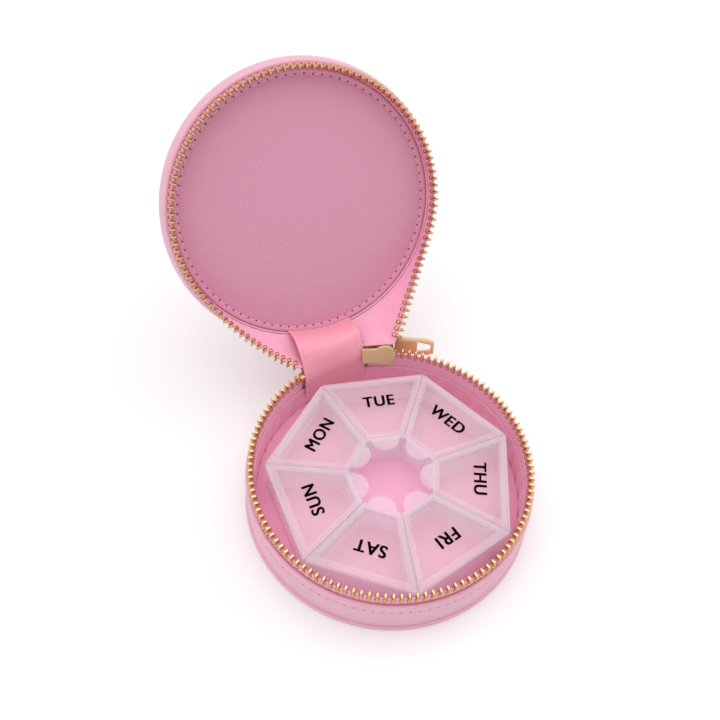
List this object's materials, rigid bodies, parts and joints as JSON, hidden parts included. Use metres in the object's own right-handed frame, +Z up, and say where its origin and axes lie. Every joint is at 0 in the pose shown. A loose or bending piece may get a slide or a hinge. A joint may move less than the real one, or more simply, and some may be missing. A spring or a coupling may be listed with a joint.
{
  "type": "pill organizer",
  "caption": "Round zip-up pill case with a hinged lid, standing open, and a lift-out day tray whose wedge-shaped pockets each have a flip lid.",
  "frame": {"origin": "middle of the base's underside", "axes": "+Z up, +Y from the middle of the base towards the lid's fabric hinge, X along the hinge"},
  "size_m": [0.1056, 0.171, 0.1153],
  "materials": {
    "pink_leather": "soft grained pink imitation leather",
    "twill_leather": "mauve imitation leather with a fine diagonal grain",
    "satin_lining": "pink satin weave",
    "zip_tape": "bright pink woven tape",
    "pad_fabric": "pink lining fabric over thin foam",
    "stiff_card": "grey board",
    "gold_metal": "polished gold-coloured zip metal",
    "satin_gold": "satin gold-coloured cast metal",
    "clear_plastic": "clear to milky polypropylene"
  },
  "bodies": {
    "base": {"base_bottom_panel": "pink_leather", "base_bottom_board": "stiff_card", "base_floor_pad": "pad_fabric", "base_outer_band": "pink_leather", "base_wall_board": "stiff_card", "base_wall_lining": "satin_lining", "base_zip_tape": "zip_tape", "base_zip_teeth": "gold_metal", "zip_top_stop": "gold_metal", "hinge_cover": "pink_leather", "hinge_lining": "satin_lining", "lid_zip_end_tapes": "zip_tape", "lid_zip_end_teeth": "gold_metal"},
    "case_lid": {"lid_top_panel": "pink_leather", "lid_top_board": "stiff_card", "lid_inner_panel": "twill_leather", "lid_outer_band": "pink_leather", "lid_wall_board": "stiff_card", "lid_wall_lining": "satin_lining", "lid_zip_tape": "zip_tape", "lid_zip_teeth": "gold_metal"},
    "tray": {"pill_tray": "clear_plastic"},
    "mon_lid": {"day_lid_mon": "clear_plastic"},
    "tue_lid": {"day_lid_tue": "clear_plastic"},
    "wed_lid": {"day_lid_wed": "clear_plastic"},
    "thu_lid": {"day_lid_thu": "clear_plastic"},
    "fri_lid": {"day_lid_fri": "clear_plastic"},
    "sat_lid": {"day_lid_sat": "clear_plastic"},
    "sun_lid": {"day_lid_sun": "clear_plastic"},
    "slider": {"zip_slider": "satin_gold"},
    "pull": {"zip_pull": "satin_gold"}
  },
  "joints": [
    {"name": "case_lid_hinge", "type": "hinge", "parent": "base", "child": "case_lid", "pos_m": [0, 0.0554, 0.0225], "axis": [-1, 0, 0], "range_deg": [-120, 60], "deforming": ["hinge_cover", "hinge_lining", "lid_zip_end_tapes", "lid_zip_end_teeth"]},
    {"name": "tray_lift", "type": "slide", "parent": "base", "child": "tray", "axis": [0, 0, 1], "range_m": [0, 0.045]},
    {"name": "mon_lid_hinge", "type": "hinge", "parent": "tray", "child": "mon_lid", "pos_m": [-0.0256, 0.02973, 0.01837], "axis": [-0.7803, -0.6254, 0], "range_deg": [0, 110]},
    {"name": "tue_lid_hinge", "type": "hinge", "parent": "tray", "child": "tue_lid", "pos_m": [0.00901, 0.03772, 0.01837], "axis": [-0.9755, 0.2201, 0], "range_deg": [0, 110]},
    {"name": "wed_lid_hinge", "type": "hinge", "parent": "tray", "child": "wed_lid", "pos_m": [0.03683, 0.01565, 0.01837], "axis": [-0.4361, 0.8999, 0], "range_deg": [0, 110]},
    {"name": "thu_lid_hinge", "type": "hinge", "parent": "tray", "child": "thu_lid", "pos_m": [0.03692, -0.01987, 0.01837], "axis": [0.4316, 0.902, 0], "range_deg": [0, 110]},
    {"name": "fri_lid_hinge", "type": "hinge", "parent": "tray", "child": "fri_lid", "pos_m": [0.00921, -0.04208, 0.01837], "axis": [0.9744, 0.225, 0], "range_deg": [0, 110]},
    {"name": "sat_lid_hinge", "type": "hinge", "parent": "tray", "child": "sat_lid", "pos_m": [-0.02544, -0.03426, 0.01837], "axis": [0.7834, -0.6215, 0], "range_deg": [0, 110]},
    {"name": "sun_lid_hinge", "type": "hinge", "parent": "tray", "child": "sun_lid", "pos_m": [-0.04093, -0.0023, 0.01837], "axis": [0.0025, -1, 0], "range_deg": [0, 110]},
    {"name": "slider_travel", "type": "hinge", "parent": "base", "child": "slider", "pos_m": [0, 0, 0.0225], "axis": [0, 0, 1], "range_deg": [-299, 0]},
    {"name": "pull_swing", "type": "hinge", "parent": "slider", "child": "pull", "pos_m": [0.02039, 0.05102, 0.02076], "axis": [0.1028, 0.3262, 0.9397], "range_deg": [0, 80]}
  ]
}
